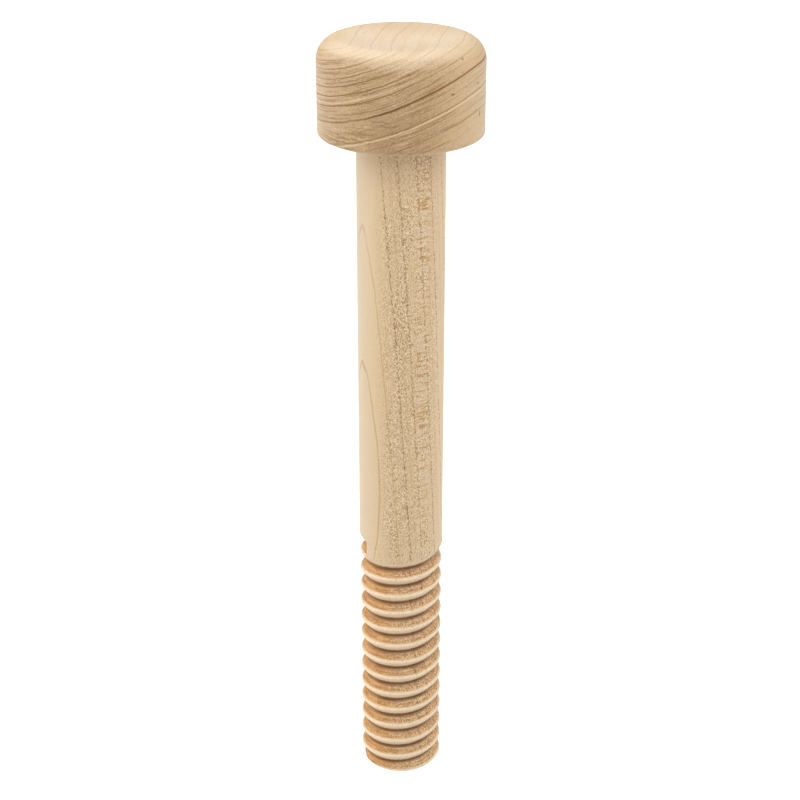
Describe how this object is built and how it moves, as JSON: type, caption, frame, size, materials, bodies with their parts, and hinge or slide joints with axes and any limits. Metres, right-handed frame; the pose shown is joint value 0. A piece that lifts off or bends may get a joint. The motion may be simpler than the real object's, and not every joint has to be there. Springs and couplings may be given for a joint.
{
  "type": "nutcracker screw",
  "caption": "Turned wooden clamping screw of a screw nutcracker: a round dished knob glued on a long plain shank with a coarse thread on its lower end.",
  "frame": {"origin": "middle of the flat face at the spindle's tip, on the spindle's axis", "axes": "+Z runs along the spindle's axis from the tip to the knob; -Y is the side seen from the front, where the thread's bearing is counted from"},
  "size_m": [0.0366, 0.0366, 0.1835],
  "materials": {
    "knob_wood": "sanded, unfinished",
    "spindle_wood": "sanded, unfinished"
  },
  "bodies": {
    "root": {"knob": "knob_wood", "spindle": "spindle_wood"}
  },
  "joints": []
}
